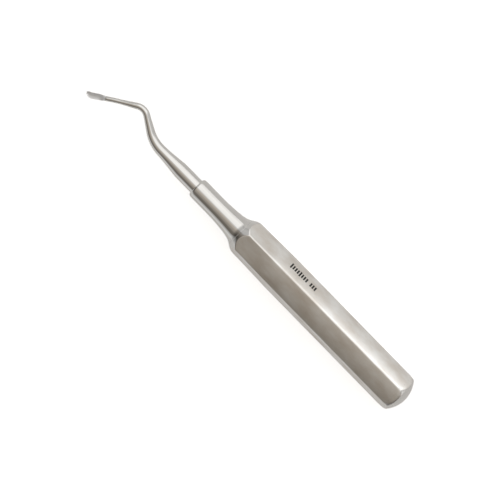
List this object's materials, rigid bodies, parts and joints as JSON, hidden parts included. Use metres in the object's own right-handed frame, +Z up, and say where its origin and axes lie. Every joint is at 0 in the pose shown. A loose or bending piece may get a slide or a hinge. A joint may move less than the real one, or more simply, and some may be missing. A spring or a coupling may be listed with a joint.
{
  "type": "dental elevator",
  "caption": "Dental elevator with a small gouge blade on a double-bent round shank and a hexagonal hollow metal handle, used to lift roots out of the jaw.",
  "frame": {"origin": "on the surface the elevator lies on, under the middle of its length and on the handle's axis", "axes": "+X along the handle from the butt to the tip, +Y to the side that the tip points to, +Z up from the flat the handle lies on"},
  "size_m": [0.1574, 0.016, 0.0145],
  "materials": {
    "polished_steel": "mirror-polished stainless steel",
    "satin_steel": "satin stainless steel, brushed along the handle"
  },
  "bodies": {
    "root": {"working_end": "polished_steel", "ferrule": "polished_steel", "handle_neck": "polished_steel", "handle_shell": "satin_steel", "end_cap": "polished_steel"}
  },
  "joints": []
}
